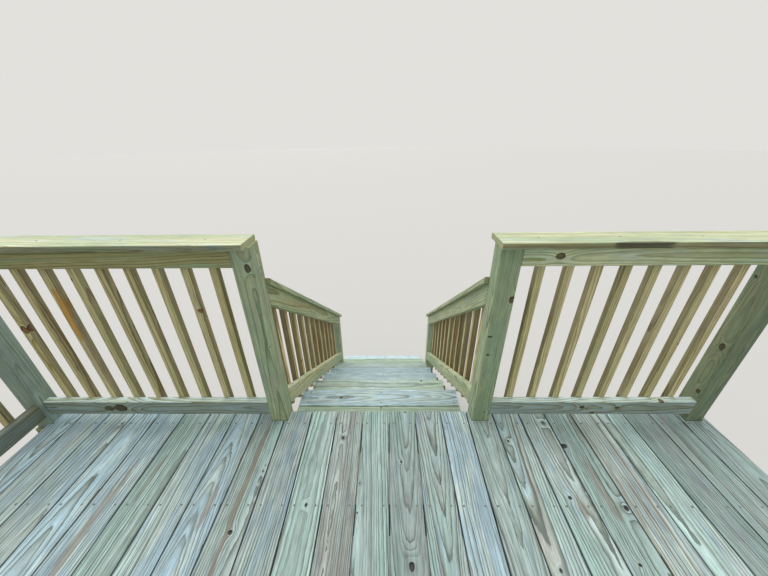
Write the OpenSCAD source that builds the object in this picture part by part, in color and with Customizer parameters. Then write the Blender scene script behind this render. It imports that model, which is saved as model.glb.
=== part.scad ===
// Raised timber deck with a straight open-riser stair.
// Through posts carry the frame and the guard rails, and a sloping
// balustrade runs down each side of the flight.
// X runs along the stair side of the deck, Y points down the stair, Z is up.
// The origin is on the ground, under the middle of the whole object.

/* [Deck] */
// Number of boards across the deck
board_count = 25; // [10:1:26]
// Width of one deck board
board_w = 139.7; // [90:0.1:142]
// Thickness of a deck board
board_t = 25.4; // [20:0.1:38]
// Gap between deck boards
board_gap = 3.2; // [2:0.1:8]
// Depth of the deck, the length of its boards
deck_depth = 2438; // [1500:1:3600]
// How far the boards run past the joists at the front and rear
board_overhang = 59; // [10:1:80]
// Spacing of the joists from face to face
joist_spacing = 406; // [300:1:610]
// Height of joists, rims and ledger
joist_h = 184; // [140:1:235]

/* [Lumber] */
// Thickness of all framing lumber and rails
lumber_t = 38; // [30:1:45]
// Width of a rail on edge
rail_w = 89; // [64:1:110]
// Side of a square post
post_w = 89; // [75:1:140]
// Side of a square baluster
baluster_w = 33; // [30:1:45]
// Clearance of a notch cut round a post
notch_clear = 3; // [1:0.5:6]

/* [Guard] */
// Clear width between the two posts at the head of the stair
stair_opening = 1000; // [850:1:1200]
// Clear length of the guard left of the stair
left_bay = 1199; // [900:1:1220]
// Clear length of the guard right of the stair
right_bay = 1054; // [800:1:1400]
// How far the left corner post stands in from the line of the other front posts, let in over the rim
corner_set = 22; // [5:1:35]
// How far the deck runs past the posts on the house side
wall_margin = 32; // [0:1:60]
// Gap between the deck and the bottom rail
rail_gap = 48; // [20:1:90]
// Height of the underside of the cap above the deck
rail_h = 996; // [850:1:1100]
// How far the balusters stop short of the cap
baluster_stop = 34; // [0:1:80]
// Largest clear gap between guard balusters
baluster_gap = 92; // [60:1:100]
// Width of the flat cap board
cap_w = 140; // [125:1:180]
// Thickness of the cap board
cap_t = 25; // [19:1:38]
// How far the cap reaches past the deck side of the rails
cap_inset = 43; // [10:1:60]
// How far the left front cap stops short of the post's stair side
cap_short = 12; // [0:1:30]
// How far the right front cap runs past the post's stair side
cap_over = 16; // [0:1:30]

/* [Stair] */
// Number of treads below the deck
tread_count = 7; // [3:1:8]
// Rise of each step
rise = 190.5; // [150:0.5:200]
// Going of each step
going = 286; // [275:1:320]
// Length of the stringer's seat under the first tread
first_seat = 259; // [230:1:290]
// Width of one tread board, two to a tread
tread_board_w = 139.7; // [110:0.1:139.7]
// Gap between the two boards of a tread
tread_gap = 4; // [2:0.5:10]
// Thickness of a tread
tread_t = 38; // [30:1:45]
// Overhang of a tread past its riser cut
nosing = 20; // [5:1:40]
// How far the treads sit off centre, to the left
tread_shift = 30; // [0:1:35]
// Extra length of the first tread on its right
first_extra = 31; // [0:1:40]
// Clearance between the tread ends and the line of the balusters
tread_clear = 1; // [1:0.5:10]
// Depth of the stringer board
stringer_w = 286; // [240:1:300]

/* [Handrail] */
// Height of the sloping cap above the deck at the upper post
handrail_high = 819; // [700:1:900]
// Height of the sloping cap above the ground at the foot post
handrail_low = 1134; // [1000:1:1250]
// Clear height of the sloping bottom rail over the nosings
nosing_clear = 19; // [8:1:40]
// Largest clear gap between stair balusters
stair_baluster_gap = 105; // [70:1:120]
// How far stair balusters hang below the bottom rail
baluster_drop = 60; // [0:1:90]
// How far the sloping cap reaches past the stair side of its rail
stair_cap_inset = 20; // [0:1:40]
// Overhang of the sloping cap past the foot post
cap_end = 10; // [0:1:40]
// Number of treads down to the one beside the foot posts
foot_tread_count = 6; // [3:1:6]

/* [Hidden] */

post_color = "#98ab86";
rail_color = "#b3b58c";
baluster_color = "#b5a878";
board_color = "#a3b0a6";
tread_color = "#adbdb4";
frame_color = "#a39a74";

// Heights
deck_h = rise * (tread_count + 1);
joist_top = deck_h - board_t;
joist_low = joist_top - joist_h;
cap_low = deck_h + rail_h;
baluster_low = deck_h + rail_gap;
baluster_top = cap_low - baluster_stop;

// Lines across the deck, before the whole is centred on the origin
half_open = stair_opening / 2;
corner_x = -half_open - post_w - left_bay;
left_out = corner_x + cap_inset - cap_w;
post_right = half_open + post_w + right_bay;
deck_right = post_right + post_w + wall_margin;
board_pitch = board_w + board_gap;

// Lines along the deck, with the front ends of the boards at zero
rim_y = -board_overhang;
rear_y = board_overhang - deck_depth;
rear_out = rear_y + cap_inset - cap_w;
post_far = rim_y + post_w;

// Lines along the stair, and the move that centres the whole over the origin
header_far = post_far + lumber_t;
first_riser = header_far + first_seat;
stair_end = first_riser + (tread_count - 1) * going + nosing;
shift = [-(left_out + deck_right) / 2, -(rear_out + stair_end) / 2, 0];

// Sloping balustrade lines
foot_near = first_riser + (foot_tread_count - 1) * going + nosing - tread_board_w + notch_clear;
foot_far = foot_near + post_w;
run = foot_near - post_far;
rail_slope = rise / going;
cap_slope = (deck_h + handrail_high - handrail_low) / run;
nosing_at_post = deck_h - rise + (first_riser + nosing - post_far) * rail_slope;

// Height of the top of the sloping cap at a point along the stair
function cap_z(y) = deck_h + handrail_high - (y - post_far) * cap_slope;
// Height of the low edge of the sloping bottom rail
function low_z(y) = nosing_at_post + nosing_clear - (y - post_far) * rail_slope;
// Height of a board's cut end when the board slopes
function plumb(width, slope) = width * sqrt(1 + slope * slope);
// Number of balusters that keep every gap in a clear length under a limit
function baluster_total(clear, gap) = ceil((clear - gap) / (baluster_w + gap));
// Starts of evenly spaced balusters along a clear length
function baluster_starts(clear, gap) =
    let (n = baluster_total(clear, gap), space = (clear - n * baluster_w) / (n + 1))
    [for (i = [0:n - 1]) space + i * (baluster_w + space)];

module box(low, high) {
    translate(low) cube(high - low);
}

// A flat shape drawn in the plane of the stringers, extruded across the stair
module side_profile(x0, x1, points) {
    translate([x0, 0, 0])
        rotate([90, 0, 90])
            linear_extrude(x1 - x0) polygon(points);
}

// A board on edge between two plumb cuts, low edge given at each end
module sloping_board(x0, x1, y0, y1, z0, z1, plumb_h) {
    side_profile(x0, x1, [[y0, z0], [y1, z1], [y1, z1 + plumb_h], [y0, z0 + plumb_h]]);
}

module post(x, y) {
    color(post_color) box([x, y, 0], [x + post_w, y + post_w, cap_low]);
}

// The corner post stands further in than the others and is let in over the front rim
module corner_post() {
    difference() {
        post(post_spots[0].x, post_spots[0].y);
        box([corner_x - 2 * post_w, rim_y - lumber_t, joist_low], [corner_x + post_w, rim_y, joist_top]);
    }
}

// Deck and frame

post_spots = [
    [corner_x - post_w, rim_y - corner_set], [-half_open - post_w, rim_y],
    [half_open, rim_y], [post_right, rim_y],
    [corner_x - post_w, (rim_y + rear_y - post_w) / 2],
    [corner_x - post_w, rear_y - post_w],
    [(corner_x + post_right - post_w) / 2, rear_y - post_w],
    [post_right, rear_y - post_w]
];

module deck_boards() {
    color(board_color) difference() {
        for (i = [0:board_count - 1])
            box([deck_right - i * board_pitch - board_w, -deck_depth, joist_top],
                [deck_right - i * board_pitch, 0, deck_h]);
        for (p = post_spots)
            box([p.x - notch_clear, p.y - notch_clear, joist_top - board_t],
                [p.x + post_w + notch_clear, p.y + post_w + notch_clear, deck_h + board_t]);
    }
}

// Joists at the set spacing from the front rim; the bay at the rear takes what is left
joist_total = floor((rim_y - rear_y - 2 * lumber_t) / joist_spacing);
joist_near = rim_y - lumber_t;

module joists() {
    color(frame_color)
        for (i = [1:joist_total])
            box([corner_x + lumber_t, joist_near - i * joist_spacing, joist_low],
                [deck_right - lumber_t, joist_near - i * joist_spacing + lumber_t, joist_top]);
}

module cross_rim(y) {
    color(frame_color) box([corner_x - post_w, y, joist_low], [deck_right, y + lumber_t, joist_top]);
}

module end_rim(x) {
    color(frame_color)
        box([x, rear_y + lumber_t, joist_low], [x + lumber_t, rim_y - lumber_t, joist_top]);
}

// Guard rails on the deck

// Rails of one bay between two posts, along X
module rail_x(x0, x1, y, z) {
    color(rail_color) box([x0, y, z], [x1, y + lumber_t, z + rail_w]);
}

module rail_y(x, y0, y1, z) {
    color(rail_color) box([x, y0, z], [x + lumber_t, y1, z + rail_w]);
}

module balusters_x(x0, x1, y) {
    color(baluster_color)
        for (s = baluster_starts(x1 - x0, baluster_gap))
            box([x0 + s, y, baluster_low],
                [x0 + s + baluster_w, y + baluster_w, baluster_top]);
}

module balusters_y(x, y0, y1) {
    color(baluster_color)
        for (s = baluster_starts(y1 - y0, baluster_gap))
            box([x, y0 + s, baluster_low],
                [x + baluster_w, y0 + s + baluster_w, baluster_top]);
}

module cap(x0, x1, y0, y1) {
    color(rail_color) box([x0, y0, cap_low], [x1, y1, cap_low + cap_t]);
}

low_rail_z = deck_h + rail_gap;
top_rail_z = cap_low - rail_w;
side_bays = [[rear_y, post_spots[4].y], [post_spots[4].y + post_w, post_spots[0].y]];
rear_bays = [[corner_x, post_spots[6].x], [post_spots[6].x + post_w, post_right]];
left_span = [corner_x, -half_open - post_w];
right_span = [half_open + post_w, post_right];

// Stair

module stair_header() {
    color(frame_color)
        box([-half_open - post_w, post_far, tread_low(1) - joist_h],
            [half_open + post_w, header_far, tread_low(1)]);
}

function tread_low(i) = deck_h - i * rise - tread_t;
function riser_y(i) = first_riser + (i - 1) * going;
under_edge = tread_low(1) - plumb(stringer_w, rail_slope);
function under_z(y) = under_edge - (y - first_riser) * rail_slope;
ground_y = first_riser + under_edge / rail_slope;

// Notched stringer: a level seat for each tread and a plumb riser cut
module stringer(x) {
    seats = [for (i = [1:tread_count], k = [0, 1])
        [k == 0 && i == 1 ? header_far : riser_y(i - 1 + k), tread_low(i)]];
    color(frame_color)
        side_profile(x, x + lumber_t, concat(
            seats,
            [[riser_y(tread_count), 0], [ground_y, 0], [header_far, under_z(header_far)]]));
}

tread_left = -half_open - lumber_t + tread_clear;
tread_right = -tread_left - 2 * tread_shift;

module tread(i) {
    far = riser_y(i) + nosing;
    right = tread_right + (i == 1 ? first_extra : 0);
    color(tread_color) difference() {
        for (k = [0, 1])
            box([tread_left, far - tread_board_w - k * (tread_board_w + tread_gap), tread_low(i)],
                [right, far - k * (tread_board_w + tread_gap), tread_low(i) + tread_t]);
        if (i == foot_tread_count)
            for (x = [-half_open - post_w, half_open])
                box([x - notch_clear, foot_near - notch_clear, tread_low(i) - tread_t],
                    [x + post_w + notch_clear, foot_far + notch_clear, tread_low(i) + 2 * tread_t]);
    }
}

// Sloping balustrade, drawn on the right and mirrored for the left

cap_plumb = plumb(cap_t, cap_slope);
top_plumb = plumb(rail_w, cap_slope);
low_plumb = plumb(rail_w, rail_slope);

module both(side) {
    if (side > 0) children();
    else mirror([1, 0, 0]) children();
}

module post_foot(side) {
    under = cap_z(foot_near) - cap_plumb;
    color(post_color) both(side)
        side_profile(half_open, half_open + post_w, [
            [foot_near, 0], [foot_far, 0],
            [foot_far, cap_z(foot_far) - cap_plumb], [foot_near, under]]);
}

module top_rail_stair(side) {
    drop = cap_plumb + top_plumb;
    color(rail_color) both(side)
        sloping_board(half_open, half_open + lumber_t, post_far, foot_near,
            cap_z(post_far) - drop, cap_z(foot_near) - drop, top_plumb);
}

module bottom_rail_stair(side) {
    color(rail_color) both(side)
        sloping_board(half_open, half_open + lumber_t, post_far, foot_near,
            low_z(post_far), low_z(foot_near), low_plumb);
}

module cap_stair(side) {
    end_y = foot_far + cap_end;
    inner = half_open - stair_cap_inset;
    color(rail_color) both(side)
        sloping_board(inner, inner + cap_w, post_far, end_y,
            cap_z(post_far) - cap_plumb, cap_z(end_y) - cap_plumb, cap_plumb);
}

// Each baluster is cut to the slope of the cap at its head and of the rail at its foot
module balusters_stair(side) {
    x = half_open + lumber_t;
    color(baluster_color) both(side)
        for (s = baluster_starts(run, stair_baluster_gap)) {
            y0 = post_far + s;
            y1 = y0 + baluster_w;
            side_profile(x, x + baluster_w, [
                [y0, low_z(y0) - baluster_drop], [y1, low_z(y1) - baluster_drop],
                [y1, cap_z(y1) - cap_plumb], [y0, cap_z(y0) - cap_plumb]]);
        }
}

module place() {
    translate(shift) children();
}

place() deck_boards();
place() joists();
place() cross_rim(rim_y - lumber_t);  // rim_front
place() cross_rim(rear_y);  // rim_rear
place() end_rim(corner_x);  // rim_left
place() end_rim(deck_right - lumber_t);  // ledger

place() corner_post();  // post_front_left
place() post(post_spots[1].x, post_spots[1].y);  // post_stair_left
place() post(post_spots[2].x, post_spots[2].y);  // post_stair_right
place() post(post_spots[3].x, post_spots[3].y);  // post_front_right
place() post(post_spots[4].x, post_spots[4].y);  // post_side_middle
place() post(post_spots[5].x, post_spots[5].y);  // post_rear_left
place() post(post_spots[6].x, post_spots[6].y);  // post_rear_middle
place() post(post_spots[7].x, post_spots[7].y);  // post_rear_right

place() rail_x(left_span[0], left_span[1], rim_y, top_rail_z);  // top_rail_front_left
place() rail_x(left_span[0], left_span[1], rim_y, low_rail_z);  // bottom_rail_front_left
place() balusters_x(left_span[0], left_span[1], rim_y + lumber_t);  // balusters_front_left
place() cap(left_out, -half_open - cap_short, rim_y - cap_inset, rim_y - cap_inset + cap_w);  // cap_front_left

place() rail_x(right_span[0], right_span[1], rim_y, top_rail_z);  // top_rail_front_right
place() rail_x(right_span[0], right_span[1], rim_y, low_rail_z);  // bottom_rail_front_right
place() balusters_x(right_span[0], right_span[1], rim_y + lumber_t);  // balusters_front_right
place() cap(half_open - cap_over, deck_right, rim_y - cap_inset, rim_y - cap_inset + cap_w);  // cap_front_right

place() for (b = side_bays) rail_y(corner_x - lumber_t, b[0], b[1], top_rail_z);  // top_rail_side
place() for (b = side_bays) rail_y(corner_x - lumber_t, b[0], b[1], low_rail_z);  // bottom_rail_side
place() for (b = side_bays) balusters_y(corner_x - lumber_t - baluster_w, b[0], b[1]);  // balusters_side
place() cap(left_out, left_out + cap_w, rear_y + cap_inset, rim_y - cap_inset);  // cap_side

place() for (b = rear_bays) rail_x(b[0], b[1], rear_y - lumber_t, top_rail_z);  // top_rail_rear
place() for (b = rear_bays) rail_x(b[0], b[1], rear_y - lumber_t, low_rail_z);  // bottom_rail_rear
place() for (b = rear_bays) balusters_x(b[0], b[1], rear_y - lumber_t - baluster_w);  // balusters_rear
place() cap(left_out, deck_right, rear_out, rear_out + cap_w);  // cap_rear

place() stair_header();
place() stringer(-half_open);  // stringer_left
place() stringer(-lumber_t / 2);  // stringer_middle
place() stringer(half_open - lumber_t);  // stringer_right
place() tread(1);  // tread_1
place() tread(2);  // tread_2
place() tread(3);  // tread_3
place() tread(4);  // tread_4
place() tread(5);  // tread_5
place() tread(6);  // tread_6
place() tread(7);  // tread_7

place() post_foot(-1);  // post_foot_left
place() top_rail_stair(-1);  // top_rail_stair_left
place() bottom_rail_stair(-1);  // bottom_rail_stair_left
place() balusters_stair(-1);  // balusters_stair_left
place() cap_stair(-1);  // cap_stair_left
place() post_foot(1);  // post_foot_right
place() top_rail_stair(1);  // top_rail_stair_right
place() bottom_rail_stair(1);  // bottom_rail_stair_right
place() balusters_stair(1);  // balusters_stair_right
place() cap_stair(1);  // cap_stair_right
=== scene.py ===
import bpy
import bmesh
import math
import numpy as np
from mathutils import Matrix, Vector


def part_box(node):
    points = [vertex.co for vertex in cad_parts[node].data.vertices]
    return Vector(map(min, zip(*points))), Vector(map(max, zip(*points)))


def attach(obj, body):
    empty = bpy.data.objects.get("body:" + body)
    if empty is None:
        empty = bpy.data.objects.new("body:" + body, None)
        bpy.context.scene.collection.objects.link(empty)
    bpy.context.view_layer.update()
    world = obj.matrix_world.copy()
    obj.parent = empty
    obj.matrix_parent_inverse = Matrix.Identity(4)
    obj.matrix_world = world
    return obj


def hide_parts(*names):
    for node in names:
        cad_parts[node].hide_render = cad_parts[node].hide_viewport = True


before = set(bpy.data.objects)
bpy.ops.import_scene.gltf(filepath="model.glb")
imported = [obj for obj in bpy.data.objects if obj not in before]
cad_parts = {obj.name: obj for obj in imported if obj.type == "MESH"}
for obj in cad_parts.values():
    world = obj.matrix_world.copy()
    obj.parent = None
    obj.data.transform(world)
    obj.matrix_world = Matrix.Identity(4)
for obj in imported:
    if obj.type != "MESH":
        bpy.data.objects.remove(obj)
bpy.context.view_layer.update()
nodeNames = sorted(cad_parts)
print("frame loaded:", len(nodeNames), "nodes")

# Camera, at the eye of someone standing on the deck and looking down the stair

eye = {
    "place": (0.1093, -0.9965, 2.9336),
    "lens": 14.357,
    "sensor": 36,
    "down": 27.569,    # degrees below level
    "turn": -0.829,    # degrees, to the left below zero
    "lean": -0.671,    # degrees, clockwise below zero
    "clip": (0.05, 200),
}


def makeCamera():
    down, turn, lean = (math.radians(eye[k]) for k in ("down", "turn", "lean"))
    ahead = np.array([math.sin(turn) * math.cos(down), math.cos(turn) * math.cos(down), -math.sin(down)])
    level = np.array([math.cos(turn), -math.sin(turn), 0])
    rise = np.cross(level, ahead)
    right = math.cos(lean) * level + math.sin(lean) * rise
    up = np.cross(right, ahead)
    data = bpy.data.cameras.new("camera")
    data.lens, data.sensor_width = eye["lens"], eye["sensor"]
    data.clip_start, data.clip_end = eye["clip"]
    camera = bpy.data.objects.new("camera", data)
    bpy.context.scene.collection.objects.link(camera)
    matrix = np.eye(4)
    matrix[:3, 0], matrix[:3, 1], matrix[:3, 2], matrix[:3, 3] = right, up, -ahead, eye["place"]
    camera.matrix_world = Matrix(matrix.tolist())
    bpy.context.scene.camera = camera


makeCamera()
bpy.context.scene.view_settings.view_transform = "Standard"

# Shader nodes


def linear(hexColour):
    # a colour as seen on a screen, turned into the linear values that sockets take
    parts = [int(hexColour[i:i + 2], 16) / 255 for i in (1, 3, 5)]
    return tuple(c / 12.92 if c <= 0.04045 else ((c + 0.055) / 1.055) ** 2.4 for c in parts) + (1,)


class Wire:
    # one value in a node tree; arithmetic on it adds the Math nodes
    def __init__(self, socket):
        self.socket = socket

    def of(self, operation, other=None, swapped=False):
        tree = self.socket.id_data
        node = tree.nodes.new("ShaderNodeMath")
        node.operation = operation
        for place, value in enumerate((other, self) if swapped else (self, other)):
            if isinstance(value, Wire):
                tree.links.new(value.socket, node.inputs[place])
            elif value is not None:
                node.inputs[place].default_value = value
        return Wire(node.outputs[0])

    def __add__(self, other):
        return self.of("ADD", other)

    def __sub__(self, other):
        return self.of("SUBTRACT", other)

    def __rsub__(self, other):
        return self.of("SUBTRACT", other, swapped=True)

    def __mul__(self, other):
        return self.of("MULTIPLY", other)

    def __truediv__(self, other):
        return self.of("DIVIDE", other)

    def __gt__(self, other):
        return self.of("GREATER_THAN", other)

    __radd__ = __add__
    __rmul__ = __mul__


class Graph:
    # the node tree of a material or of the world, and the one method that adds its other nodes
    def __init__(self, owner):
        owner.use_nodes = True
        self.owner, self.tree = owner, owner.node_tree
        self.tree.nodes.clear()

    def node(self, kind, settings=None, inputs=None, output=None):
        node = self.tree.nodes.new("ShaderNode" + kind)
        for key, value in (settings or {}).items():
            if key == "stops":
                # greys of a ramp, as (place, shade); the first two are the ramp's own two stops
                for place, (at, shade) in enumerate(value):
                    stop = node.color_ramp.elements[place] if place < 2 else node.color_ramp.elements.new(at)
                    stop.position, stop.color = at, (shade, shade, shade, 1)
            else:
                setattr(node, key, value)
        for key, value in (inputs or {}).items():
            socket = next(s for s in node.inputs if s.name == key and s.enabled)
            if isinstance(value, Wire):
                self.tree.links.new(value.socket, socket)
            else:
                socket.default_value = value
        if output:
            return Wire(node.outputs[output])
        shown = [s for s in node.outputs if s.enabled]
        return Wire(shown[0]) if shown else None

    def attribute(self, name):
        return self.node("Attribute", {"attribute_name": name}, output="Vector")

    def factor(self, name):
        return self.node("Attribute", {"attribute_name": name}, output="Fac")

    def split(self, vector):
        return [self.node("SeparateXYZ", inputs={"Vector": vector}, output=axis) for axis in "XYZ"]

    def join(self, x, y, z):
        return self.node("CombineXYZ", inputs={"X": x, "Y": y, "Z": z})

    def mix(self, amount, first, second, blend="MIX"):
        return self.node("Mix", {"data_type": "RGBA", "blend_type": blend},
                         {"Factor": amount, "A": first, "B": second})

    def noise(self, vector, scale, detail=2, output=None):
        sockets = {"Vector": vector, "Scale": scale, "Detail": detail}
        return self.node("TexNoise", inputs=sockets, output=output)

    def noiseAlong(self, value, detail=2):
        # noise over one number
        return self.node("TexNoise", {"noise_dimensions": "1D"}, {"W": value, "Scale": 1, "Detail": detail})

    def step(self, value, low, high):
        # 0 below low, 1 above high, smooth between; low may be the larger one
        return self.node("MapRange", {"interpolation_type": "SMOOTHSTEP"},
                         {"Value": value, "From Min": low, "From Max": high})

    def largest(self, wires):
        top, *others = wires
        for wire in others:
            top = top.of("MAXIMUM", wire)
        return top

    def mixShaders(self, amount, first, second):
        node = self.tree.nodes.new("ShaderNodeMixShader")
        for socket, wire in zip(node.inputs, (amount, first, second)):
            self.tree.links.new(wire.socket, socket)
        return Wire(node.outputs[0])

    def seen(self):
        # 1 where the surface is seen straight, in a reflection or through glass
        kinds = ("Camera", "Glossy", "Transmission")
        rays = [self.node("LightPath", output=f"Is {kind} Ray") for kind in kinds]
        return (rays[0] + rays[1] + rays[2]).of("MINIMUM", 1)

    def close(self, sockets):
        self.node("OutputMaterial", inputs={"Surface": self.node("BsdfPrincipled", inputs=sockets)})
        return self.owner


def newFinish(name):
    return Graph(bpy.data.materials.new(name))


# Finishes of the timber. Each plank carries its own grain coordinates, in metres: x along the
# plank, y and z across it, measured from the heart of the log that it was sawn from.
# Of the colours, pale is the wood, tail the shade of a ring towards its end and line its dark end;
# heart and heartLine stand for pale and line at the heart of the log. Patches are fresh, cool or
# warm. A knot is filled with pith, and knot is its dark rim. stain is that of a listed stain, also
# used for painted shade along one cap's front edge, and end that of a sawn end.
# Of the numbers, lines and streaks are strengths, rough is the roughness, pithReach the share of a
# knot inside its rim, swirl how far a knot pushes the rings aside, sway how far the rings waver, in
# metres, and paintedShade how much darker painted shade makes the marked faces.

finishes = {
    "deck_board": {
        "pale": "#bfd1ce", "line": "#55635e", "tail": "#8a8a78", "heart": "#b2aea0", "heartLine": "#615e54",
        "fresh": "#a9c8c2", "cool": "#a5c0cc", "warm": "#ada594",
        "knot": "#1c1f1d", "pith": "#39382f", "stain": "#8e8576", "end": "#8b9883",
        "lines": 0.78, "streaks": 0.92, "rough": 0.72,
        "pithReach": 0.05, "swirl": 2.0, "sway": 0.004, "paintedShade": 0.45,
    },
    "tread": {
        "pale": "#b8cac6", "line": "#73867f", "tail": "#99a192", "heart": "#b3ac97", "heartLine": "#7d745f",
        "fresh": "#aabfa2", "cool": "#aec6d0", "warm": "#b3aa93",
        "knot": "#262821", "pith": "#57513e", "stain": "#727463", "end": "#9aa68a",
        "lines": 0.8, "streaks": 0.82, "rough": 0.75,
        "pithReach": 0.5, "swirl": 1.5, "sway": 0.004, "paintedShade": 0.45,
    },
    "post": {
        "pale": "#b2bf98", "line": "#6b7d5e", "tail": "#8f9672", "heart": "#b5a679", "heartLine": "#7b6a45",
        "fresh": "#8fab8b", "cool": "#98aca4", "warm": "#aea27a",
        "knot": "#332d1c", "pith": "#5f5336", "stain": "#5f5335", "end": "#919a6e",
        "lines": 0.85, "streaks": 0.68, "rough": 0.7,
        "pithReach": 0.65, "swirl": 0.8, "sway": 0.0014, "paintedShade": 0.45,
    },
    "rail": {
        "pale": "#c9ceaa", "line": "#7c7d52", "tail": "#98935f", "heart": "#bfae7f", "heartLine": "#806d44",
        "fresh": "#a3ba98", "cool": "#b0c6c6", "warm": "#b4a56c",
        "knot": "#342c1a", "pith": "#57482b", "stain": "#4f4833", "end": "#9c9c6e",
        "lines": 0.82, "streaks": 0.65, "rough": 0.66,
        "pithReach": 0.7, "swirl": 0.9, "sway": 0.0028, "paintedShade": 0.45,
    },
    "baluster": {
        "pale": "#e2d6a8", "line": "#8b7848", "tail": "#ad9b68", "heart": "#bd9c63", "heartLine": "#85683a",
        "fresh": "#d0c894", "cool": "#c8bfa2", "warm": "#c8ad7e",
        "knot": "#4c2f1b", "pith": "#94653a", "stain": "#cf9c50", "end": "#9e9266",
        "lines": 0.75, "streaks": 0.55, "rough": 0.66,
        "pithReach": 0.7, "swirl": 0.9, "sway": 0.002, "paintedShade": 0.5,
    },
    "framing": {
        "pale": "#b9b48c", "line": "#7d7350", "tail": "#928453", "heart": "#b09a68", "heartLine": "#77623c",
        "fresh": "#98a57d", "cool": "#a3a58b", "warm": "#ab9562",
        "knot": "#3a2e19", "pith": "#7b633a", "stain": "#665837", "end": "#8c8458",
        "lines": 0.7, "streaks": 0.5, "rough": 0.8,
        "pithReach": 0.6, "swirl": 1.2, "sway": 0.0035, "paintedShade": 0.45,
    },
}
metals = {
    "screw": {"colour": "#7d867d", "worn": "#565d55", "rough": 0.5, "metal": 0.3},
    "bolt": {"colour": "#a5a7a6", "worn": "#868885", "rough": 0.35, "metal": 0.8},
}
knotNames = ("knotA", "knotB", "knotC", "knotD")


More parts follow.
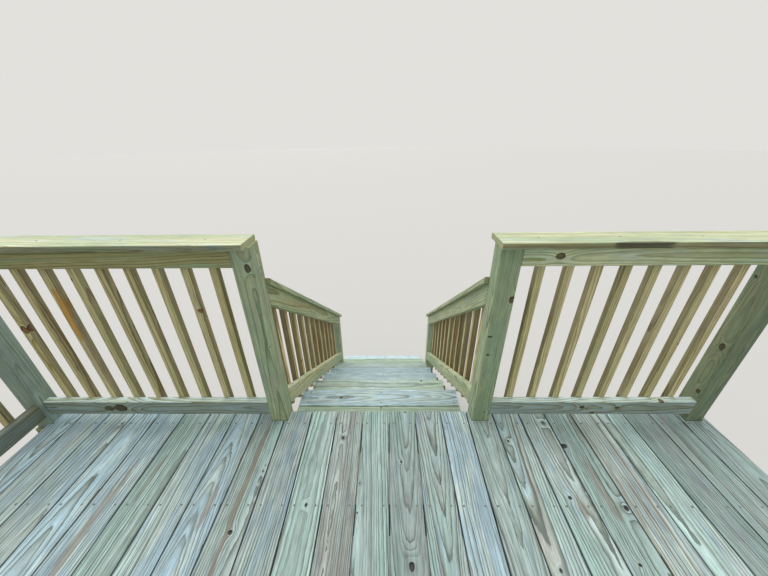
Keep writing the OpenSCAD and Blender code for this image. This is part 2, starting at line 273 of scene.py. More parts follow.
class Wood(Graph):
    # a timber finish: its node tree, the place of each point in the log that the plank was sawn
    # from, the plank's tone, and the noises that follow its grain
    def __init__(self, name):
        super().__init__(bpy.data.materials.new(name))
        self.paint = finishes[name]
        self.colour = {key: linear(value) for key, value in self.paint.items() if isinstance(value, str)}
        self.along, self.across, self.depth = self.split(self.attribute("grain"))
        self.warm, self.fresh, self.lightness = self.split(self.attribute("tone"))
        self.sway = self.fleck(4, 16, 2) - 0.5
        self.shiver = self.fleck(25, 70, 2) - 0.5
        self.mottle = self.fleck(14, 45, 3)
        self.fibre = self.fleck(12, 300, 3)
        self.streak = self.fleck(3, 110, 3)
        self.cloud = self.fleck(1.7, 9, 3)
        self.patches = self.fleck(4.5, 20, 4, shift=7)
        self.crack = self.step(self.fleck(2.6, 85, 1), 0.73, 0.77)

    def fleck(self, lengthwise, sidewise, detail, shift=0):
        # noise stretched along the plank: its changes in a metre of length and in a metre across
        x = self.along * lengthwise + shift if shift else self.along * lengthwise
        return self.noise(self.join(x, self.across * sidewise, self.depth * sidewise), 1, detail)

    def heartDistance(self):
        # the distance from the heart of the log and how much of it is sideways; the heart wanders
        # slowly along the plank, and the rings round it waver at two sizes
        drift = self.split(self.noise(self.join(self.along, 0, 0), 1.1, 1, output="Color"))
        y = self.across + (drift[0] - 0.5) * 0.06
        z = self.depth + (drift[1] - 0.5) * 0.045
        radius = (y * y + z * z).of("SQRT") + (self.sway * 3 + self.shiver) * self.paint["sway"]
        return radius, y.of("ABSOLUTE")

    def branch(self, name):
        # A branch leaves the heart sideways in a straight line. Its attribute holds the line's
        # place along the plank and its direction over the branch's radius; square is the distance
        # from it in radii, squared. The result is how far it swells the rings, in metres, and the
        # knot, its dark rim and a pale halo.
        start, p, q = self.split(self.attribute(name))
        small = (p * p + q * q).of("SQRT")
        ahead = (self.along - start) * small * 0.7    # a knot is longer than it is wide
        aside = self.across * p + self.depth * q
        outward = (self.depth * p - self.across * q) > 0
        square = ahead * ahead + aside * aside + self.shiver * 1.6 + (self.mottle - 0.5) * 0.8
        swell = (square * -0.12).of("EXPONENT") * outward
        reach = self.paint["pithReach"]
        knot = self.step(square, 1.2, 0.9) * outward
        rim = knot * self.step(square, reach * 0.6, reach) * self.step(ahead, -0.7, 0.5)
        halo = (square * -0.25).of("EXPONENT") * outward
        return swell / small * self.paint["swirl"], knot, rim, halo

    def branches(self, radius):
        # the distance from the heart, swelled by every branch, and the marks of all knots together
        swells, *marks = zip(*(self.branch(name) for name in knotNames))
        for swell in swells:
            radius = radius + swell
        return radius, *(self.largest(wires) for wires in marks)

    def rings(self, radius, aside):
        # rings of uneven width: late is 1 in the dark end of each, tail rises towards it, and the
        # last two are a tone for each ring and fine hairs along it
        ringWidth, taper, _ = self.split(self.attribute("figure"))
        rings = (radius + self.along * taper) / ringWidth
        rings = rings + self.noiseAlong(rings * 0.45) * 1.6
        turn = rings.of("FRACT")
        stops = [(0.0, 0.9), (1.0, 1.0), (0.06, 0.0), (0.6, 0.05), (0.84, 0.4), (0.94, 1.0)]
        late = self.node("ValToRGB", {"stops": stops}, {"Fac": turn + aside / radius * 0.14})
        tail = self.step(turn, 0.25, 0.95)
        return late, tail, self.noiseAlong(rings * 0.31), self.noiseAlong(rings * 5, 3)

    def patched(self, ringTone, inHeart):
        # the wood between the dark lines, with its fresh, cool and warm patches
        colour = self.colour
        tint = self.mix(self.step(self.cloud + self.fresh, 0.4, 0.75), colour["pale"], colour["fresh"])
        tint = self.mix(self.step(self.patches - self.fresh, 0.45, 0.7), tint, colour["cool"])
        tint = self.mix(inHeart * 0.8, tint, colour["heart"])
        warmth = self.step(ringTone + self.warm + (self.patches - 0.5) * 0.8, 0.7, 1.05)
        return self.mix(warmth * 0.75, tint, colour["warm"])

    def stained(self, tint, late):
        # one listed stain, an ellipse with a ragged edge; on the left cap it is a band of painted shade
        # along the front edge
        start, middle, short = self.split(self.attribute("stain"))
        narrow, strength, damp = self.split(self.attribute("stainLook"))
        lengthwise = (self.along - start) * short
        sidewise = (self.across - middle + self.sway * 0.02) * narrow
        ragged = lengthwise * lengthwise + sidewise * sidewise + (self.mottle - 0.5) * 1.4
        patch = self.step(ragged, 1.1, 0.6) * strength
        stain = self.mix(damp, self.colour["stain"], self.colour["fresh"])
        return self.mix(patch * (1 - late * 0.4), tint, stain)

    def flawed(self, tint, knot, rim):
        # knots, drying cracks and sawn ends
        specks = self.step(self.mottle + self.streak * 0.5, 0.6, 0.9)
        inside = self.mix(specks * 0.6, self.colour["pith"], self.colour["knot"])
        tint = self.mix(knot * 0.9, tint, inside)
        tint = self.mix(rim * 0.9, tint, self.colour["knot"])
        tint = self.mix(self.crack * 0.55, tint, self.colour["knot"])
        return self.mix(self.factor("cut") * 0.6, tint, self.colour["end"])

    def shaded(self, tint, hairs, strength):
        # fine marks that darken and lighten the wood by turns, the plank's lightness, and painted shade on
        # the marked faces
        texture = self.fibre + self.streak + self.mottle * 0.7 + hairs * strength * 0.6 - 1.55
        # painted shade: the marked faces are made darker, as if less light reached them
        unshaded = 1 - self.factor("paintedShade") * self.paint["paintedShade"]
        shade = self.lightness * (texture * self.paint["streaks"] + 1) * unshaded
        return self.mix(1.0, tint, self.join(shade, shade, shade), "MULTIPLY")


def timberFinish(name):
    w = Wood(name)
    radius, aside = w.heartDistance()
    radius, knot, rim, halo = w.branches(radius)
    late, tail, ringTone, hairs = w.rings(radius, aside)
    inHeart = w.step(radius + w.shiver * 0.004, 0.003, -0.003)
    strength = w.step(ringTone + (w.cloud - 0.5) * 0.6, 0.25, 0.65) * 0.7 + 0.3
    dark = w.mix(inHeart * 0.7, w.colour["line"], w.colour["heartLine"])
    tint = w.patched(ringTone, inHeart)
    tint = w.mix(tail * strength * 0.65, tint, w.colour["tail"])
    tint = w.mix(late * strength * w.paint["lines"], tint, dark)
    tint = w.mix(halo * (1 - late) * 0.5, tint, w.colour["pale"])
    tint = w.stained(tint, late)
    tint = w.flawed(tint, knot, rim)
    tint = w.shaded(tint, hairs, strength)
    relief = late * -0.5 + w.fibre * 0.6 + w.streak * 0.3 - knot * 0.4 - w.crack * 0.6
    bump = w.node("Bump", inputs={"Strength": 0.45, "Distance": 0.0012, "Height": relief})
    rough = w.paint["rough"] + w.fibre * 0.2 - late * 0.08
    return w.close({"Base Color": tint, "Roughness": rough, "Normal": bump})


def metalFinish(name):
    paint = metals[name]
    f = newFinish(name)
    spots = f.noise(f.node("TexCoord", output="Object"), 900, 3)
    tint = f.mix(f.step(spots, 0.45, 0.7), linear(paint["colour"]), linear(paint["worn"]))
    rough = spots * 0.25 + paint["rough"]
    return f.close({"Base Color": tint, "Roughness": rough, "Metallic": paint["metal"]})


materials = {name: timberFinish(name) for name in finishes}
materials.update({name: metalFinish(name) for name in metals})
print("finishes made:", len(materials))

# Solids of the frame


def solidsOf(name):
    # the corner points of each separate solid of a CAD node, in order along X, Y and Z
    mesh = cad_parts[name].data
    points = np.empty(len(mesh.vertices) * 3)
    mesh.vertices.foreach_get("co", points)
    loops = np.empty(len(mesh.loops), int)
    mesh.loops.foreach_get("vertex_index", loops)
    corners, place = np.unique(points.reshape(-1, 3).round(5), axis=0, return_inverse=True)
    triangles = place.ravel()[loops].reshape(-1, 3)
    group = np.arange(len(corners))
    while True:
        lowest = group.copy()
        np.minimum.at(lowest, triangles.ravel(), np.repeat(group[triangles].min(1), 3))
        if (lowest == group).all():
            break
        group = lowest
    return [corners[group == g] for g in np.unique(group)]


def middleOf(name):
    return [(c.min(0) + c.max(0)) / 2 for c in solidsOf(name)]


def boxCorners(low, high):
    # the eight corners of a box, in order along X, Y and Z
    return np.array(np.meshgrid(*zip(low, high), indexing="ij")).reshape(3, -1).T


def endsOf(corners, lengthways, shown):
    # The two end sections of a long solid, four corners each: first along the width, then up to
    # the face that is shown. A notched solid counts as its whole box.
    if len(corners) != 8:
        corners = boxCorners(corners.min(0), corners.max(0))
    sides = np.stack([np.cross(shown, lengthways), shown], 1)
    t = corners @ lengthways
    ends = []
    for end in (corners[t < np.median(t)], corners[t > np.median(t)]):
        above = end @ sides > (end @ sides).mean(0)
        ends.append([end[(above == pick).all(1)][0] for pick in ((0, 0), (1, 0), (1, 1), (0, 1))])
    return np.array(ends)


# Planks


def roundedRing(width, thick, edge, steps):
    # a closed ring round a rectangle width by thick: quarter circles of radius edge at its corners
    turn = np.linspace(0, math.pi / 2, steps)
    ring = []
    middles = [(width - edge, thick - edge), (edge, thick - edge), (edge, edge), (width - edge, edge)]
    for quarter, (x, y) in enumerate(middles):
        angle = turn + quarter * math.pi / 2
        ring.append(np.stack([x + edge * np.cos(angle), y + edge * np.sin(angle)], 1))
    return np.concatenate(ring)


def sidesBetween(rings, count):
    # the four-sided faces between neighbouring rings of count points each
    i, j = np.meshgrid(np.arange(rings - 1), np.arange(count), indexing="ij")
    k = (j + 1) % count
    sides = [i * count + j, (i + 1) * count + j, (i + 1) * count + k, i * count + k]
    return np.stack(sides, -1).reshape(-1, 4)


def plankSurface(ends, edge, bow, stations, steps=4):
    # The ring is carried in a straight line from one end section to the other, and each of its
    # points goes where its share of the width and thickness puts it between the four corners.
    # Halfway along it stands off sideways by the bow, as half a sine wave.
    width = np.linalg.norm(ends[0, 1] - ends[0, 0])
    thick = np.linalg.norm(ends[0, 3] - ends[0, 0])
    ring = roundedRing(width, thick, edge, steps) / (width, thick)
    u, v = ring[:, :1], ring[:, 1:]
    shares = ((1 - u) * (1 - v), u * (1 - v), u * v, (1 - u) * v)
    section = [sum(share * corner for share, corner in zip(shares, end)) for end in ends]
    t = np.linspace(0, 1, stations)[:, None, None]
    sideways = (ends[0, 1] - ends[0, 0]) / width
    points = (1 - t) * section[0] + t * section[1] + np.sin(math.pi * t) * bow * sideways
    count = len(ring)
    sides = sidesBetween(stations, count)[:, [0, 3, 2, 1]]
    caps = [list(range(count))[::-1], list(range((stations - 1) * count, stations * count))]
    return points.reshape(-1, 3), sides.tolist() + caps


def volumeOf(points, faces):
    # six times the signed volume, from a fan of triangles on each face
    fans = np.array([(f[0], f[k], f[k + 1]) for f in faces for k in range(1, len(f) - 1)])
    a, b, c = (points[fans[:, corner]] for corner in range(3))
    return (a * np.cross(b, c)).sum()


def meshObject(name, points, faces):
    mesh = bpy.data.meshes.new(name)
    mesh.from_pydata(points.tolist(), [], faces)
    mesh.validate()
    made = bpy.data.objects.new(name, mesh)
    bpy.context.scene.collection.objects.link(made)
    return made


def shapeOf(made):
    # points and faces of an object with its modifiers applied
    bpy.context.view_layer.update()
    mesh = bpy.data.meshes.new_from_object(made.evaluated_get(bpy.context.evaluated_depsgraph_get()))
    points = np.empty(len(mesh.vertices) * 3)
    mesh.vertices.foreach_get("co", points)
    return points.reshape(-1, 3), [list(p.vertices) for p in mesh.polygons]


def cutByBoxes(points, faces, boxes):
    # the plank with the boxes taken out of it by Boolean modifiers
    plank = meshObject("plank", points, faces)
    sides = [[0, 1, 3, 2], [4, 6, 7, 5], [0, 4, 5, 1], [2, 3, 7, 6], [0, 2, 6, 4], [1, 5, 7, 3]]
    cutters = []
    for low, high in boxes:
        cutter = meshObject("cutter", boxCorners(low, high), sides)
        modifier = plank.modifiers.new("notch", "BOOLEAN")
        modifier.object, modifier.operation, modifier.solver = cutter, "DIFFERENCE", "EXACT"
        cutters.append(cutter)
    points, faces = shapeOf(plank)
    for made in [plank, *cutters]:
        bpy.data.objects.remove(made)
    return points, faces


# Lumber by kind: the radius of its edges, the width of its rings, how much they run out along the
# plank, the radius of the knots that fall by chance, their number in a metre and the share of the
# length that they fall on, and how crooked it is; lengths in metres

lumber = {
    "deck_board": {
        "edge": 0.0032, "ring": (0.007, 0.012), "taper": 0.016,
        "knot": (0.003, 0.007), "knotsPerMetre": 0.5, "reach": 0.62, "crooked": 0.0008},
    "tread": {
        "edge": 0.0035, "ring": (0.008, 0.012), "taper": 0.014,
        "knot": (0.003, 0.008), "knotsPerMetre": 0.7, "reach": 1, "crooked": 0.0005},
    "post": {
        "edge": 0.0035, "ring": (0.005, 0.0075), "taper": 0.012,
        "knot": (0.005, 0.012), "knotsPerMetre": 0.5, "reach": 0.55, "crooked": 0},
    "rail": {
        "edge": 0.0035, "ring": (0.007, 0.011), "taper": 0.02,
        "knot": (0.004, 0.010), "knotsPerMetre": 0.6, "reach": 1, "crooked": 0},
    "baluster": {
        "edge": 0.003, "ring": (0.006, 0.009), "taper": 0.012,
        "knot": (0.003, 0.008), "knotsPerMetre": 0.25, "reach": 1, "crooked": 0},
    "framing": {
        "edge": 0.003, "ring": (0.007, 0.011), "taper": 0.014,
        "knot": (0.006, 0.016), "knotsPerMetre": 0.9, "reach": 1, "crooked": 0},
}

# Words for the look of a plank. A colour word, plain when there is none, gives the share of warm
# brown, the share of fresh green (below zero, of cool blue) and the lightness; some colour words
# hold painted light, as marked below. A grain word, mixed when there is none, gives how far the
# heart of the log lay to one side of the plank and how deep below the shown face, in metres, and
# how fast the rings run out along the plank. "faced" puts painted shade on the shown face and its
# back, and "edged" on the two narrow sides.

tones = {
    "plain": (0.08, 0.1, 1.0),
    "blue": (-0.1, -0.14, 1.26),
    "lilac": (0.0, -0.09, 1.04),
    "pale": (0.05, -0.03, 1.13),
    # painted light: lightened as if the tread stood in sunlight
    "white": (-0.05, -0.1, 1.4),
    "bright": (0.22, 0.03, 1.19),
    "grey": (0.12, 0.0, 0.97),
    "shade": (0.26, 0.2, 0.66),
    "dusk": (0.3, 0.0, 1.0),
    "brass": (0.45, 0.0, 1.1),
    "slate": (0.0, -0.3, 0.98),
    "brown": (0.42, -0.05, 0.82),
    "tan": (0.26, -0.02, 1.0),
    "streaked": (0.18, 0.0, 0.77),
    "dove": (0.16, -0.14, 1.09),
    # painted shade: warm, and darkened as if in shadow
    "ochre": (0.55, 0.15, 0.86),
    "teal": (-0.12, 0.12, 0.95),
    "jade": (0.04, 0.08, 0.82),
    "pine": (0.02, 0.04, 0.68),
    "aqua": (-0.14, 0.14, 0.86),
    # painted shade: darkens boards as if they stood in shade
    "deep": (0.12, 0.08, 0.74),
    "dull": (0.1, 0.0, 0.8),
    "mist": (-0.05, -0.3, 1.32),
    "ash": (0.3, -0.3, 0.47),
    "moss": (0.15, 0.08, 1.08),
    "green": (0.0, 0.3, 0.94),
    "straw": (0.22, 0.12, 1.02),
    "lemon": (0.2, -0.1, 1.35),
}
grains = {
    "straight": ((0.07, 0.13), (0.01, 0.05), (0.2, 0.8)),
    "mixed": ((0.02, 0.07), (0.02, 0.07), (0.6, 1.6)),
    "arched": ((0.0, 0.02), (0.03, 0.05), (3.2, 4.6)),
    "dipped": ((0.0, 0.02), (0.03, 0.05), (-4.6, -3.2)),
}
chances = {
    "offset": (10, 90),       # where a plank lies in the noise, in metres along it
    "nearKnot": 0.006,        # how far the heart lies beside a listed knot
    "knotSpread": 0.4,        # spread of knots round the heart, as a share of its depth
    "knotMargin": 0.45,       # furthest knot from the middle, as a share of the width
    "tone": 0.03,             # spread of the shares of warm brown and fresh green
    "lightness": 0.02,        # spread of the lightness
}
alongX, alongY, alongZ = np.eye(3)    # y is along the boards of the deck, and x along its front


def plankFrame(ends):
    # the start of a plank, its length, width and half thickness, and the ways of its three axes
    start = ends[0].mean(0)
    lengthways = ends[1].mean(0) - start
    length = np.linalg.norm(lengthways)
    lengthways = lengthways / length
    wide = ends[0, 1] - ends[0, 0]
    wide = wide - lengthways * (wide @ lengthways)
    width = np.linalg.norm(wide)
    wide = wide / width
    half = np.linalg.norm(ends[0, 3] - ends[0, 0]) / 2
    return start, (length, width, half), (lengthways, wide, np.cross(lengthways, wide))


def wordFrom(choices, words, usual):
    return next((w for w in words.split() if w in choices), usual)


class Stack:
    # the planks of one piece, gathered and then made one mesh with their grain
    def __init__(self, kind, seed):
        self.kind = kind
        self.random = np.random.default_rng(seed)
        self.points, self.faces, self.axes, self.dirty, self.marks = [], [], [], [], []
        self.total = 0

    def knotsOn(self, knots, length, width, side, deep):
        # the listed knots and those that fall by chance, as (place along, place across,
        # radius); the list ends in knots far off, so that every knot's attribute has one
        look, random = lumber[self.kind], self.random
        spots = [(k[0] * length, k[1], k[2]) for k in knots]
        if knots and look["reach"] == 1:
            chance = 0
        else:
            chance = random.poisson(look["knotsPerMetre"] * length * look["reach"])
        edge = width * chances["knotMargin"]
        for _ in range(chance):
            across = np.clip(random.normal(-side, deep * chances["knotSpread"]), -edge, edge)
            along = random.uniform(0, look["reach"]) * length
            spots.append((along, across, random.uniform(*look["knot"])))
        spots += [(-1e5, 0, 0.01)] * len(knotNames)
        return spots[:len(knotNames)]

    def dirtyWay(self, words, wide, upwards):
        # the way that the faces with painted shade face: boards and balusters get it on their narrow
        # sides, and the frame above and below
        if "faced" in words:
            return upwards
        if self.kind in ("deck_board", "baluster") or "edged" in words:
            return wide
        return alongZ * (self.kind == "framing")

    def add(self, points, faces, ends, words="plain", knots=(), stain=None):
        look, random = lumber[self.kind], self.random
        start, (length, width, half), (lengthways, wide, upwards) = plankFrame(ends)
        warm, fresh, lightness = tones[wordFrom(tones, words, "plain")]
        sideRange, deepRange, climb = grains[wordFrom(grains, words, "mixed")]
        side = random.uniform(*sideRange) * random.choice([-1, 1])
        deep = random.uniform(*deepRange)
        if knots:
            side = random.uniform(-chances["nearKnot"], chances["nearKnot"]) - knots[0][1]
        offset = random.uniform(*chances["offset"])
        local = points - start
        below = deep - half
        grain = np.stack([local @ lengthways + offset, local @ wide + side, local @ upwards + below], 1)
        ringWidth = random.uniform(*look["ring"])
        taper = random.uniform(*climb) * look["taper"]
        if not words.endswith(("arched", "dipped")):
            taper *= random.choice([-1, 1])
        marks = []
        for place, across, radius in self.knotsOn(knots, length, width, side, deep):
            # the branch's line from the heart to the given place on the shown face
            a = across + side
            far = math.hypot(a, deep)
            marks += [place + offset, deep / far / radius, -a / far / radius]
        if stain:
            marks += [stain[0] * length + offset, stain[1] + side, 1 / stain[2], 1 / stain[3], *stain[4:6]]
        else:
            marks += [0, 0, 1, 1, 0, 0]
        warm += random.normal(0, chances["tone"])
        fresh += random.normal(0, chances["tone"])
        lightness *= random.normal(1, chances["lightness"])
        same = np.tile([warm, fresh, lightness, ringWidth, taper, 0, *marks], (len(points), 1))
        if volumeOf(points, faces) < 0:
            faces = [f[::-1] for f in faces]
        self.faces += [[i + self.total for i in f] for f in faces]
        self.axes += [lengthways] * len(faces)
        self.dirty += [self.dirtyWay(words, wide, upwards)] * len(faces)
        self.total += len(points)
        self.points.append(points)
        self.marks.append(np.hstack([grain, same]))

    def piece(self, name):
        made = meshObject(name, np.concatenate(self.points), self.faces)
        mesh = made.data
        marks = np.concatenate(self.marks).astype(np.float32)
        for place, label in enumerate(("grain", "tone", "figure", *knotNames, "stain", "stainLook")):
            column = marks[:, place * 3:place * 3 + 3]
            mesh.attributes.new(label, "FLOAT_VECTOR", "POINT").data.foreach_set("vector", column.ravel())
        sawn = markFaces(mesh, "cut", self.axes, 0.6)
        # painted shade: marks the faces that are darkened as if in shade
        markFaces(mesh, "paintedShade", self.dirty, 0.9)
        mesh.polygons.foreach_set("use_smooth", np.ones(len(mesh.polygons), bool))
        made.modifiers.new("edges", "WEIGHTED_NORMAL").keep_sharp = True
        sharp = sharpEdges(mesh, sawn)
        mesh.attributes.new("sharp_edge", "BOOLEAN", "EDGE").data.foreach_set("value", sharp)
        mesh.materials.append(materials[self.kind])
        return made


def markFaces(mesh, label, ways, least):
    # gives the value 1 to the faces that look along the way listed for them, or against it
    normals = np.empty(len(mesh.polygons) * 3)
    mesh.polygons.foreach_get("normal", normals)
    marked = np.abs((normals.reshape(-1, 3) * np.array(ways)).sum(1)) > least
    mesh.attributes.new(label, "FLOAT", "FACE").data.foreach_set("value", marked.astype(np.float32))
    return marked


def sharpEdges(mesh, sawn):
    # an edge is sharp where a sawn end or notch meets a long face
    loopEdge = np.empty(len(mesh.loops), int)
    mesh.loops.foreach_get("edge_index", loopEdge)
    size = np.empty(len(mesh.polygons), int)
    mesh.polygons.foreach_get("loop_total", size)
    touching = np.zeros(len(mesh.edges), bool)
    touching[loopEdge[np.repeat(sawn, size)]] = True
    return touching


# Dressing of the CAD nodes

seeds = {"planks": 100, "stringers": 50, "fixings": 7}
notch = {"clear": 0.003, "past": 0.1}    # gap round a post, and how far a cutter passes the plank
outward = {    # the way that the outer side of each guard faces
    "front_left": alongY, "front_right": alongY, "side": -alongX, "rear": -alongY,
    "stair_left": -alongX, "stair_right": alongX,
}


def wayOf(name):
    # the way that the rails and caps of a guard run
    return alongY if "side" in name or "stair" in name else alongX


def finishPiece(made, slot, *nodes):
    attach(made, "root")
    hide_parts(*nodes)
    return made


def postNotches(low, high):
    # boxes round every post, with the clearance of a notch, from one height to another
    clear = notch["clear"]
    low, high = low - notch["past"], high + notch["past"]
    boxes = []
    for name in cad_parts:
        if name.startswith("post_"):
            a, b = (np.array(c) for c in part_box(name))
            boxes.append(((a[0] - clear, a[1] - clear, low), (b[0] + clear, b[1] + clear, high)))
    return boxes


def reaches(box, low, high):
    # whether a box reaches into the space between two corners
    return (np.array(box[0]) < high).all() and (np.array(box[1]) > low).all()


def dress(name, kind, lengthways, shown, notches=()):
    # replaces one CAD node by planks with eased edges, one for each of its solids
    look = lumber[kind]
    stack = Stack(kind, seeds["planks"] + nodeNames.index(name))
    words = handWords.get(name, "plain").split(", ")
    knots, stains = handKnots.get(name, {}), handStains.get(name, {})
    for place, corners in enumerate(solidsOf(name)):
        ends = endsOf(corners, lengthways, shown)
        crooked = look["crooked"]
        if crooked:
            inset = ends[:, 1] - ends[:, 0]
            inset *= crooked * stack.random.uniform(1, 2) / np.linalg.norm(inset[0])
            ends[:, [0, 3]] += inset[:, None]
            ends[:, [1, 2]] -= inset[:, None]
        bow = stack.random.uniform(-1, 1) * crooked
        points, faces = plankSurface(ends, look["edge"], bow, 7 if crooked else 2)
        low, high = points.min(0), points.max(0)
        near = [box for box in notches if reaches(box, low, high)]
        if near:
            points, faces = cutByBoxes(points, faces, near)
        word = words[place % len(words)]
        stack.add(points, faces, ends, word, knots.get(place, ()), stains.get(place))
    return finishPiece(stack.piece(name + "_timber"), kind, name)


# The looks that planks are given one by one. The words of a piece go to its planks along X, or along Y
# where they lie one behind the other, and start again when they run out. A knot is (share of the
# length, place across, radius), and a stain (share of the length, place across, half its length,
# half its width, strength, share of the fresh colour in it), both by the plank's number.

handWords = {
    # the last three deck boards, deep, are darkened with painted shade
    "deck_boards":
        "blue, lilac straight, lilac, blue arched, dove straight, "
        "teal, lilac straight, lilac arched, dull straight, dull straight, "
        "teal, brown straight, aqua straight, pine dipped, streaked dipped, "
        "lilac straight, jade dipped, tan dipped, teal, jade, "
        "tan, moss, deep straight, deep straight, deep arched",
    "post_front_left": "slate straight",
    "post_stair_left": "tan",
    "post_stair_right": "plain straight",
    "post_front_right": "shade",
    "post_foot_left": "lemon",
    "post_foot_right": "lemon",
    # edged: painted shade on the caps' narrow sides
    "cap_front_left": "pale edged",
    "cap_front_right": "bright edged straight",
    # the left top rail is darkened with painted shade
    "top_rail_front_left": "ochre",
    "top_rail_front_right": "bright",
    "top_rail_stair_left": "straw",
    "bottom_rail_side": "ash",
    # faced: painted shade on the bottom rails' shown faces and backs, so that their tops show lighter
    "bottom_rail_front_left": "mist faced",
    "bottom_rail_front_right": "mist faced",
    "balusters_front_left": "plain, straw, plain, straw, plain, plain, straw",
    "balusters_front_right": "straw, plain, plain, green, straw, plain",
    # faced: painted shade on the stair balusters' shown faces and backs
    "balusters_stair_left": "brass faced, dusk faced, brass faced",
    "balusters_stair_right": "dusk faced, brass faced, tan faced",
    "tread_1": "green straight, lilac arched",
    "tread_2": "moss",
    "tread_3": "lilac straight",
    "tread_4": "slate",
    "tread_5": "grey straight",
    "tread_6": "teal",
    # the top tread is lightened with painted light
    "tread_7": "white straight",
}
handKnots = {
    "deck_boards": {
        8: [(0.861, -0.055, 0.0035), (0.761, -0.012, 0.006)],
        10: [(0.802, -0.004, 0.0055)],
        11: [(0.932, 0.022, 0.006)],
        12: [(0.839, 0.061, 0.003), (0.79, 0.063, 0.003)],
        13: [(0.719, -0.009, 0.0095), (0.88, 0.015, 0.004)],
        17: [(0.925, 0.041, 0.006), (0.715, 0.032, 0.005)],
        18: [(0.969, -0.04, 0.007), (0.815, 0.014, 0.006)],
        19: [(0.799, -0.054, 0.009), (0.914, 0.064, 0.009), (0.722, 0.024, 0.004)],
    },
    "post_stair_left": {0: [(0.963, -0.018, 0.014), (0.804, -0.037, 0.003)]},
    "post_stair_right": {
        0: [(0.903, -0.034, 0.012), (0.826, 0.029, 0.004), (0.784, 0.023, 0.004), (0.63, -0.012, 0.004)]},
    "post_front_right": {0: [(0.79, -0.008, 0.013), (0.931, 0.024, 0.006), (0.681, -0.021, 0.009)]},
    "top_rail_front_right": {0: [(0.14, 0.0, 0.013)]},
    "bottom_rail_front_left": {0: [(0.335, 0.004, 0.024)]},
    "bottom_rail_front_right": {
        0: [(0.45, 0.01, 0.01), (0.624, 0.006, 0.009), (0.831, 0.05, 0.009), (0.512, -0.035, 0.007)]},
    "balusters_front_left": {0: [(0.579, -0.004, 0.015)]},
    "tread_1": {1: [(0.256, 0.0, 0.008)]},
}
handStains = {
    "deck_boards": {
        4: (0.76, 0.0, 0.3, 0.016, 0.7, 0),
        5: (0.85, 0.02, 0.12, 0.012, 0.6, 0),
        7: (0.8, -0.02, 0.1, 0.014, 0.7, 0),
        8: (0.83, 0.0, 0.4, 0.014, 0.85, 0),
        18: (0.8, -0.02, 0.05, 0.014, 0.6, 0),
        19: (0.84, 0.0, 0.16, 0.018, 0.6, 0),
    },
    "post_stair_right": {0: (0.8, 0.0, 0.15, 0.06, 0.4, 1)},
    # painted shade: a faint dark band along the whole front edge of the left cap, as if in shadow
    "cap_front_left": {0: (0.5, -0.074, 3, 0.009, 0.2, 0)},
    "cap_front_right": {0: (0.425, -0.068, 0.125, 0.012, 0.85, 0)},
    "bottom_rail_front_left": {0: (0.285, 0.002, 0.03, 0.022, 0.9, 0)},
    "balusters_front_left": {2: (0.67, -0.003, 0.16, 0.014, 1.0, 0)},
    "tread_1": {1: (0.25, 0.0, 0.11, 0.016, 0.7, 0)},
}


def dressNode(name):
    # the name says which lumber a node is made of, the way it runs and the face that is shown
    low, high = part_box(name)
    if name == "deck_boards":
        dress(name, "deck_board", alongY, alongZ, postNotches(low.z, high.z))
    elif name in ("joists", "rim_front", "rim_rear", "stair_header"):
        dress(name, "framing", alongX, -alongY)
    elif name in ("rim_left", "ledger"):
        dress(name, "framing", alongY, alongX)
    elif name.startswith("post_"):
        rim = [tuple(c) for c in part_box("rim_front")]
        shown = -alongX if name == "post_front_right" else -alongY
        dress(name, "post", alongZ, shown, [rim] if name == "post_front_left" else ())
    elif name.startswith("balusters"):
        dress(name, "baluster", alongZ, -alongY)
    elif name.startswith("tread_"):
        dress(name, "tread", alongX, alongZ, postNotches(low.z, high.z))
    elif name.startswith("cap"):
        dress(name, "rail", wayOf(name), alongZ)
    elif "rail" in name:
        dress(name, "rail", wayOf(name), -outward[name.split("_rail_")[1]])


for name in nodeNames:
    dressNode(name)
print("planks done")

stringer = {
    "board": 0.286,     # width of the board that it is sawn from
    "ease": 0.002,      # bevel of its edges
    "merge": 1e-5,      # corners closer than this are one
    "flat": 0.02,       # faces that turn less than this angle are one
    "end": 0.01,        # how near a corner lies to the end that it belongs to
}


def dressStringer(name):
    # A merged copy of the CAD board, its flat faces made whole and its edges eased by a bevel.
    # The grain slopes along the board, as the line from its upper end to its foot.
    made = bpy.data.objects.new(name + "_copy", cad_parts[name].data.copy())
    bpy.context.scene.collection.objects.link(made)
    work = bmesh.new()
    work.from_mesh(made.data)
    bmesh.ops.remove_doubles(work, verts=work.verts, dist=stringer["merge"])
    bmesh.ops.dissolve_limit(work, angle_limit=stringer["flat"], verts=work.verts, edges=work.edges)
    work.to_mesh(made.data)
    work.free()
    bevel = made.modifiers.new("ease", "BEVEL")
    bevel.width, bevel.segments, bevel.limit_method = stringer["ease"], 2, "ANGLE"
    points, faces = shapeOf(made)
    bpy.data.objects.remove(made)
    low, high = points.min(0), points.max(0)
    upper, foot = points[points[:, 1] < low[1] + stringer["end"]], points[points[:, 2] < stringer["end"]]
    section = ((high[0], 0), (high[0], stringer["board"]), (low[0], stringer["board"]), (low[0], 0))
    ends = [[(x, y, z + rise) for x, rise in section]
            for y, z in ((low[1], upper[:, 2].min()), (foot[:, 1].min(), 0.0))]
    stack = Stack("framing", seeds["stringers"] + nodeNames.index(name))
    stack.add(points, faces, np.array(ends))
    return finishPiece(stack.piece(name + "_timber"), "framing", name)


stringers = ("stringer_left", "stringer_middle", "stringer_right")
for name in stringers:
    dressStringer(name)
print("stringers done")

# Fixings. Their profiles go from the middle outwards, as (radius, height, lobes).

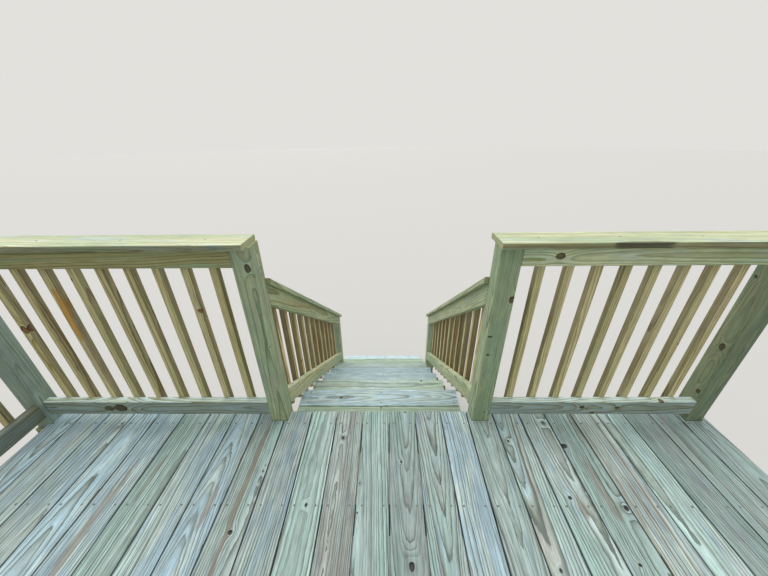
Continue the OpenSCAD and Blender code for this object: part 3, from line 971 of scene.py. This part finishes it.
profiles = {
    "screw": [(0.0015, 0.0001, 0.15), (0.0019, 0.0005, 0.15), (0.0041, 0.0005, 0), (0.0046, 0.0, 0)],
    "washer": [(0.009, 0.002, 0), (0.0185, 0.002, 0), (0.019, 0.0015, 0), (0.019, -0.0005, 0)],
    "bolt": {"radius": 0.011, "height": 0.0045, "sunk": 0.0005},
}
fixing = {
    "deck": 0.045,            # half the distance between the two screws across a deck board
    "tread": 0.042,           # the same across a tread board
    "baluster": 0.02,         # the same up a baluster
    "balusterHalf": 0.0165,   # from a baluster's middle to its outer face
    "capEvery": 0.4,          # largest distance between the screws of a cap
    "bolt": 0.05,             # from the upper or lower edge of a rim to a bolt
    "ledgerEnd": 0.15,        # from the end of the ledger to its first bolt
    "ledgerBolts": 6,
}


def turned(rings, sides=18):
    # Rings of points round the Z axis, from the middle outwards, each with its radius, height and
    # lobes a: the radius goes as r (1 + a cos 6t). The middle is closed by one flat face.
    r, h, lobes = (np.array(c)[:, None] for c in zip(*rings))
    t = np.linspace(0, 2 * math.pi, sides, endpoint=False)
    r = r * (1 + lobes * np.cos(6 * t))
    points = np.stack([r * np.cos(t), r * np.sin(t), h + 0 * t], -1)
    return points.reshape(-1, 3), [list(range(sides))] + sidesBetween(len(rings), sides).tolist()


def domeProfile(radius, height, sunk, steps=6):
    # a flattened dome: a quarter of an ellipse from near its top to its rim, which goes on down
    turn = np.linspace(0.2, math.pi / 2, steps)
    return [(radius * math.sin(t), height * math.cos(t), 0) for t in turn] + [(radius, -sunk, 0)]


screwHead = turned(profiles["screw"])
boltHead = turned(domeProfile(**profiles["bolt"]))
washer = turned(profiles["washer"])


def placeHeads(name, heads, finish):
    # One piece from many small shapes. Each is (shape, place, the way it faces), turned at random
    # about its own axis: p -> place + x a + y b + z n, where a, b and n are at right angles.
    random = np.random.default_rng(seeds["fixings"])
    points, faces, total = [], [], 0
    for (shape, sides), place, facing in heads:
        n = np.array(facing) / np.linalg.norm(facing)
        a = np.cross(n, random.normal(size=3))
        a /= np.linalg.norm(a)
        points.append(np.array(place) + shape @ np.stack([a, np.cross(n, a), n]))
        faces += [[i + total for i in f] for f in sides]
        total += len(shape)
    made = meshObject(name, np.concatenate(points), faces)
    made.data.materials.append(materials[finish])
    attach(made, "root")
    print(name, len(heads))


def deckScrews():
    # two screws through each board into each joist and rim, clear of the posts
    lines = [m[1] for name in ("joists", "rim_front", "rim_rear") for m in middleOf(name)]
    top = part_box("deck_boards")[1].z
    posts = postNotches(top, top)
    heads = []
    for middle in middleOf("deck_boards"):
        for y in lines:
            for x in (middle[0] - fixing["deck"], middle[0] + fixing["deck"]):
                spot = np.array([x, y, top])
                if not any(reaches(post, spot, spot) for post in posts):
                    heads.append((screwHead, spot, alongZ))
    placeHeads("deck_screws", heads, "screw")


def treadScrews():
    # two screws through each tread board into each stringer
    heads = []
    lines = [middleOf(name)[0][0] for name in stringers]
    for name in nodeNames:
        if name.startswith("tread_"):
            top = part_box(name)[1].z
            for middle in middleOf(name):
                heads += [(screwHead, (x, middle[1] + dy, top), alongZ)
                          for x in lines for dy in (-fixing["tread"], fixing["tread"])]
    placeHeads("tread_screws", heads, "screw")


def balusterScrews():
    # two screws through each baluster into each rail, at the height of the rail's middle there
    heads = []
    for guard, facing in outward.items():
        lengthways = wayOf(guard)
        for rail in ("top_rail_", "bottom_rail_"):
            for corners in solidsOf(rail + guard):
                a, b = endsOf(corners, lengthways, alongZ).mean(1)
                for middle in middleOf("balusters_" + guard):
                    t = (middle - a) @ lengthways / ((b - a) @ lengthways)
                    if 0 < t < 1:
                        x, y, _ = middle + facing * fixing["balusterHalf"]
                        z = a[2] + t * (b[2] - a[2])
                        for dz in (-fixing["baluster"], fixing["baluster"]):
                            heads.append((screwHead, (x, y, z + dz), facing))
    placeHeads("baluster_screws", heads, "screw")


def capScrews():
    # one row of screws down each cap
    heads = []
    for name in nodeNames:
        if name.startswith("cap_"):
            for corners in solidsOf(name):
                a, b = endsOf(corners, wayOf(name), alongZ)[:, 2:].mean(1)
                total = round(np.linalg.norm(b - a) / fixing["capEvery"]) + 1
                facing = np.cross(b - a, np.cross(alongZ, b - a))
                heads += [(screwHead, a + (b - a) * (k + 0.5) / total, facing) for k in range(total)]
    placeHeads("cap_screws", heads, "screw")


def frameBolts():
    # two bolts through each deck post into the rim behind it, and a row through the ledger
    low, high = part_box("rim_front")
    heights = (low.z + fixing["bolt"], high.z - fixing["bolt"])
    heads = []
    for name in nodeNames:
        if name.startswith("post_") and "foot" not in name:
            a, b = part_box(name)
            middle = (np.array(a) + np.array(b)) / 2
            facing = -alongY if "rear" in name else -alongX if "side" in name else alongY
            face = middle + facing * (b.x - a.x) / 2
            heads += [(part, (face[0], face[1], z), facing) for part in (boltHead, washer) for z in heights]
    a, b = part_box("ledger")
    first, last = a.y + fixing["ledgerEnd"], b.y - fixing["ledgerEnd"]
    for k, y in enumerate(np.linspace(first, last, fixing["ledgerBolts"])):
        heads += [(part, (a.x, y, heights[k % 2]), -alongX) for part in (boltHead, washer)]
    placeHeads("frame_bolts", heads, "bolt")


for makeFixings in (deckScrews, treadScrews, balusterScrews, capScrews, frameBolts):
    makeFixings()

# Light, floor and the surroundings

studio = {
    "sky": 0.6,
    "sun": {"strength": 2.35, "spread": 100, "from": (-0.25, 0.75, 1.0)},
    "fill": {"strength": 0.15, "spread": 70, "from": (0.2, -0.8, 0.9)},
    "seen": "#e2e1dd",      # the world as the camera sees it, close to the lit floor
    "floor": "#c7c6c2",
    "bounce": "#7d7c78",    # the floor's shade as other surfaces see it
    "rings": (0, 3, 8, 20, 60),    # radii of the floor's rings
}


def softLight():
    # the camera sees the world in the floor's shade, so that no horizon shows
    world = bpy.data.worlds.new("studio")
    bpy.context.scene.world = world
    g = Graph(world)
    plain = g.node("Background", inputs={"Color": (1, 1, 1, 1), "Strength": studio["sky"]})
    backdrop = g.node("Background", inputs={"Color": linear(studio["seen"])})
    g.node("OutputWorld", inputs={"Surface": g.mixShaders(g.seen(), plain, backdrop)})
    for name in ("sun", "fill"):
        lamp = bpy.data.lights.new(name, "SUN")
        lamp.energy, lamp.angle = studio[name]["strength"], math.radians(studio[name]["spread"])
        sun = bpy.data.objects.new(name, lamp)
        towards = np.array(studio[name]["from"]) / np.linalg.norm(studio[name]["from"])
        sun.rotation_euler = (0, math.acos(towards[2]), math.atan2(towards[1], towards[0]))
        bpy.context.scene.collection.objects.link(sun)


def studioFloor(sides=48):
    # a disc: rings of points at growing radii
    radii = np.array(studio["rings"])[:, None]
    angle = np.linspace(0, 2 * math.pi, sides, endpoint=False)
    points = np.stack([radii * np.cos(angle), radii * np.sin(angle), radii * 0 * angle], -1)
    floor = meshObject("floor", points.reshape(-1, 3), sidesBetween(len(radii), sides).tolist())
    f = newFinish("studio_floor")
    tint = f.mix(f.seen(), linear(studio["bounce"]), linear(studio["floor"]))
    floor.data.materials.append(f.close({"Base Color": tint, "Roughness": 0.9}))


softLight()
studioFloor()
print("light and floor done")

bpy.context.view_layer.update()
